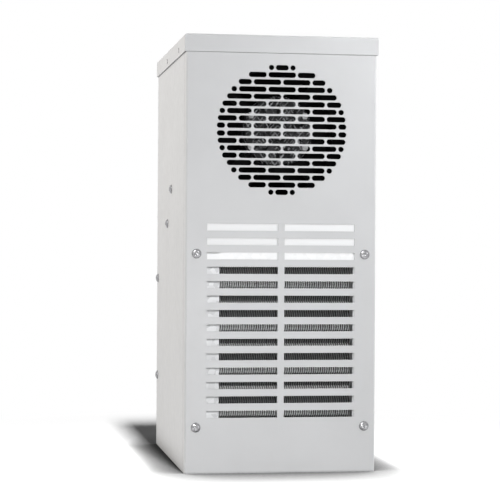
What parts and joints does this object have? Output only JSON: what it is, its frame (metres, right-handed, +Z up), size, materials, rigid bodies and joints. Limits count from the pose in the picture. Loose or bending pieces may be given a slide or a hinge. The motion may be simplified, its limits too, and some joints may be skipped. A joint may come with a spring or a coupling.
{
  "type": "enclosure air conditioner",
  "caption": "Tall sheet-metal air conditioner that hangs on an enclosure, with a slotted round fan grille above a louvred coil and a gasketed back.",
  "frame": {"origin": "middle of the foot, on the surface that the cabinet stands on", "axes": "+Z up, +Y from the louvred front to the gasketed back, +X to the right seen from the front"},
  "size_m": [0.2364, 0.3264, 0.52],
  "materials": {
    "powder_coat": "light grey semi-gloss powder coat",
    "galvanised": "galvanised sheet steel",
    "fin_aluminium": "thin mill-finish aluminium fins",
    "copper": "drawn copper tube",
    "motor_shell": "cast and rolled motor shell",
    "zinc_steel": "bright zinc plated steel",
    "black_enamel": "black baked enamel",
    "black_rubber": "closed-cell foam and rubber",
    "black_plastic": "black moulded plastic",
    "pale_plastic": "pale moulded plastic",
    "capacitor_can": "drawn aluminium can"
  },
  "bodies": {
    "cabinet": {"front_panel": "powder_coat", "top_lid": "powder_coat", "left_side_panel": "powder_coat", "right_side_panel": "powder_coat", "back_panel": "powder_coat", "lid_rivets": "powder_coat", "base_pan": "galvanised", "partition": "galvanised", "condenser_fan_shroud": "galvanised", "condenser_left_end_plate": "galvanised", "condenser_right_end_plate": "galvanised", "condenser_top_channel": "galvanised", "evaporator_left_end_plate": "galvanised", "evaporator_right_end_plate": "galvanised", "drain_tray": "galvanised", "condenser_motor_bracket": "galvanised", "evaporator_inlet_ring": "galvanised", "evaporator_motor_plate": "galvanised", "compressor_foot_plate": "galvanised", "electrical_box": "galvanised", "electrical_box_cover": "galvanised", "condenser_fins": "fin_aluminium", "evaporator_fins": "fin_aluminium", "condenser_tube": "copper", "evaporator_tube": "copper", "discharge_line": "copper", "suction_line": "copper", "liquid_line": "copper", "capillary_tube": "copper", "filter_drier": "copper", "condenser_motor": "motor_shell", "condenser_motor_bell": "motor_shell", "evaporator_motor": "motor_shell", "front_screws": "zinc_steel", "side_screws": "zinc_steel", "condenser_motor_nuts": "zinc_steel", "compressor_bolts": "zinc_steel", "mounting_inserts": "zinc_steel", "evaporator_motor_posts": "zinc_steel", "inlet_guard": "zinc_steel", "compressor": "black_enamel", "rear_gasket": "black_rubber", "partition_insulation": "black_rubber", "compressor_grommets": "black_rubber", "drain_tube": "black_rubber", "compressor_terminal_cover": "black_plastic", "cable_gland": "black_plastic", "compressor_relay": "black_plastic", "terminal_block": "pale_plastic", "thermostat": "pale_plastic", "run_capacitor": "capacitor_can"},
    "condenser_fan_rotor": {"condenser_fan": "black_plastic", "condenser_fan_shaft": "zinc_steel"},
    "evaporator_fan_rotor": {"evaporator_impeller": "black_plastic", "evaporator_fan_shaft": "zinc_steel"},
    "thermostat_knob": {"thermostat_dial": "black_plastic"}
  },
  "joints": [
    {"name": "condenser_fan_spin", "type": "hinge", "parent": "cabinet", "child": "condenser_fan_rotor", "pos_m": [0, -0.062, 0.4076], "axis": [0, 1, 0], "continuous": true},
    {"name": "evaporator_fan_spin", "type": "hinge", "parent": "cabinet", "child": "evaporator_fan_rotor", "pos_m": [0, 0.1, 0.4], "axis": [0, 1, 0], "continuous": true},
    {"name": "thermostat_turn", "type": "hinge", "parent": "cabinet", "child": "thermostat_knob", "pos_m": [0.058, 0.16, 0.2697], "axis": [0, 1, 0], "range_deg": [-135, 135]}
  ]
}
